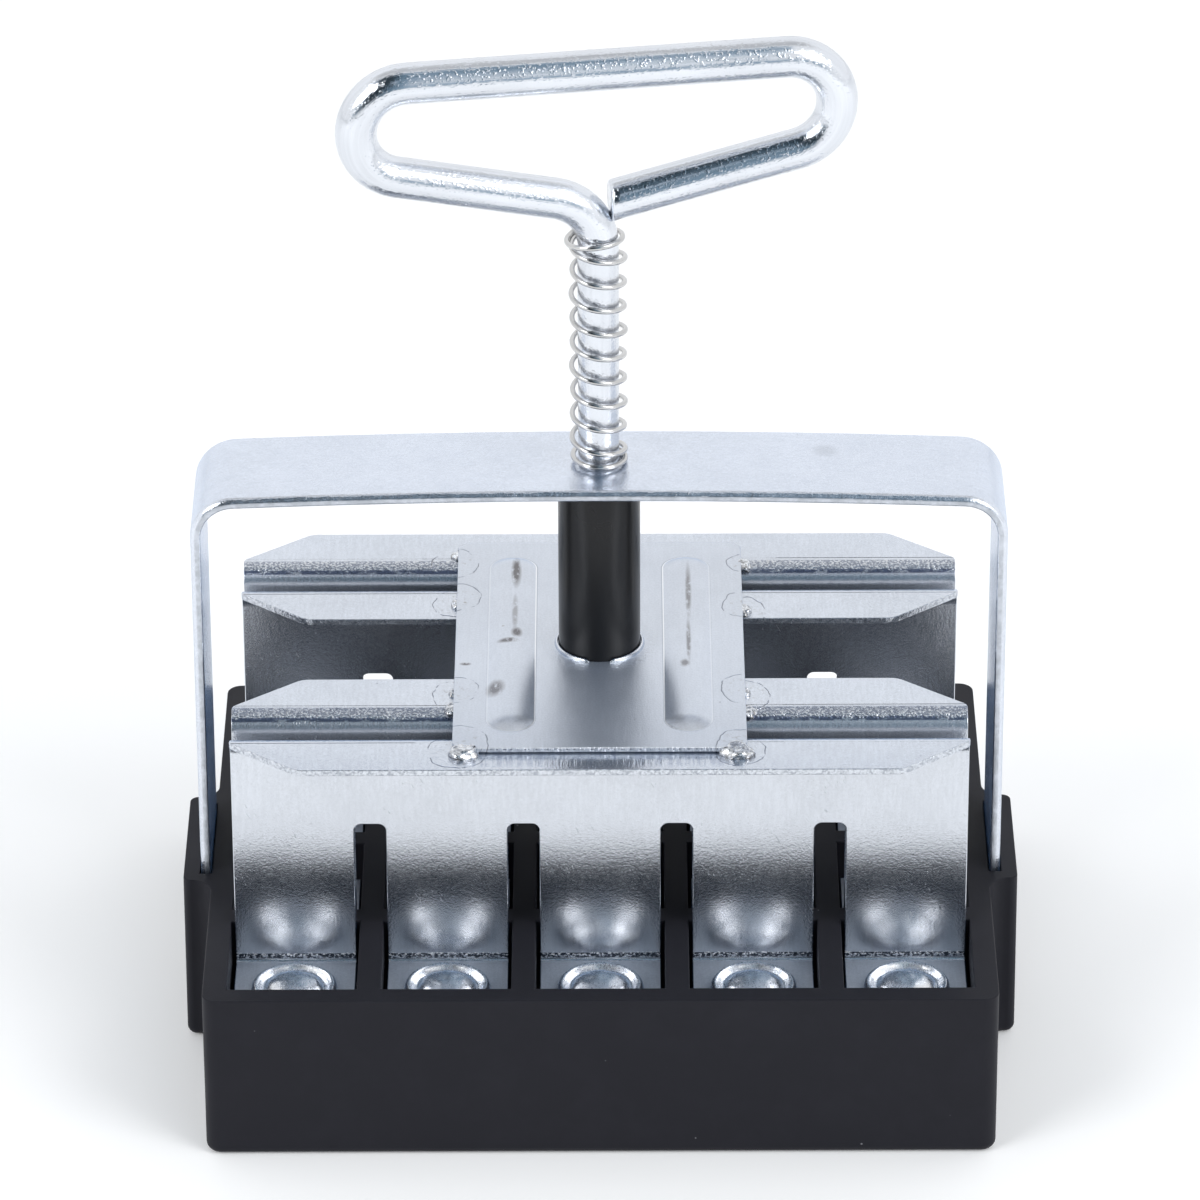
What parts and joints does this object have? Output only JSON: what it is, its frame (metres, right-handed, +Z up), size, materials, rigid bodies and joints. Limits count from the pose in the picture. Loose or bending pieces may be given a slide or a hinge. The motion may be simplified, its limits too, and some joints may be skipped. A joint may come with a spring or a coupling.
{
  "type": "soil blocker",
  "caption": "Hand soil blocker: open grid mould, steel strap frame, and a spring-returned pusher on a rod with a loop handle that presses soil cubes out.",
  "frame": {"origin": "centre of the mould's underside, on the surface that it stands on", "axes": "+Z up along the handle rod, +X along the five columns of cells, +Y along the four rows, away from the viewer"},
  "size_m": [0.1244, 0.0936, 0.1564],
  "materials": {
    "black_plastic": "moulded, fine satin grain",
    "sleeve_plastic": "extruded tube, semi-gloss",
    "zinc_steel": "bright zinc-plated sheet with fine grain and scratches",
    "rod_steel": "bright zinc-plated round bar",
    "spring_steel": "drawn spring wire",
    "weld_metal": "tack weld beads with brown heat stains beside them"
  },
  "bodies": {
    "frame": {"mould_box": "black_plastic", "strap_frame": "zinc_steel", "strap_screws": "zinc_steel", "return_spring": "spring_steel"},
    "pusher": {"bridge_plate": "zinc_steel", "tack_welds": "weld_metal", "stop_sleeve": "sleeve_plastic", "rod_washer": "zinc_steel", "rod_nut": "zinc_steel", "handle_rod": "rod_steel", "pusher_plate_front_near": "zinc_steel", "pusher_plate_front_far": "zinc_steel", "pusher_plate_rear_near": "zinc_steel", "pusher_plate_rear_far": "zinc_steel", "dimple_studs_front_near": "zinc_steel", "dimple_studs_front_far": "zinc_steel", "dimple_studs_rear_near": "zinc_steel", "dimple_studs_rear_far": "zinc_steel"}
  },
  "joints": [
    {"name": "pusher_slide", "type": "slide", "parent": "frame", "child": "pusher", "axis": [0, 0, 1], "range_m": [-0.0172, 0], "stiffness_N_per_m": 450, "springref_m": 0.012, "deforming": ["return_spring"]}
  ]
}
